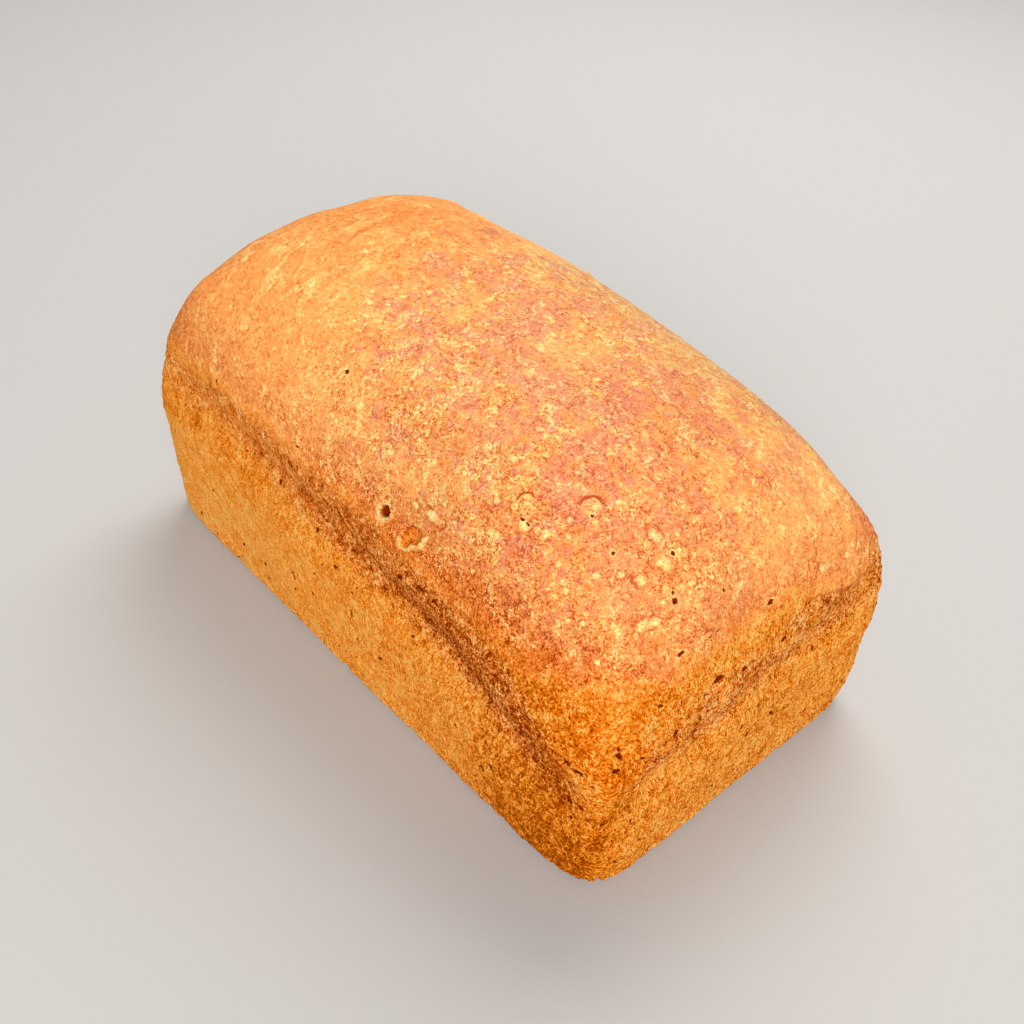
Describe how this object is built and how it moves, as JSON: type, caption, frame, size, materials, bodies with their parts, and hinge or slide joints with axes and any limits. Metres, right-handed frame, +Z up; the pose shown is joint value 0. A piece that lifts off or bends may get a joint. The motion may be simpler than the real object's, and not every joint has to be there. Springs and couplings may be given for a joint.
{
  "type": "tin loaf",
  "caption": "Uncut tin loaf with straight walls that sink in below a rounded crown, and a browned, pored and blistered crust.",
  "frame": {"origin": "centre of the flat base, on the surface the loaf stands on", "axes": "+X along the loaf, +Y across it, +Z up"},
  "size_m": [0.186, 0.105, 0.1002],
  "materials": {
    "crust": "browned bread crust, fine-grained and slightly satin on the crown, rough and pitted on the walls"
  },
  "bodies": {
    "root": {"loaf": "crust"}
  },
  "joints": []
}
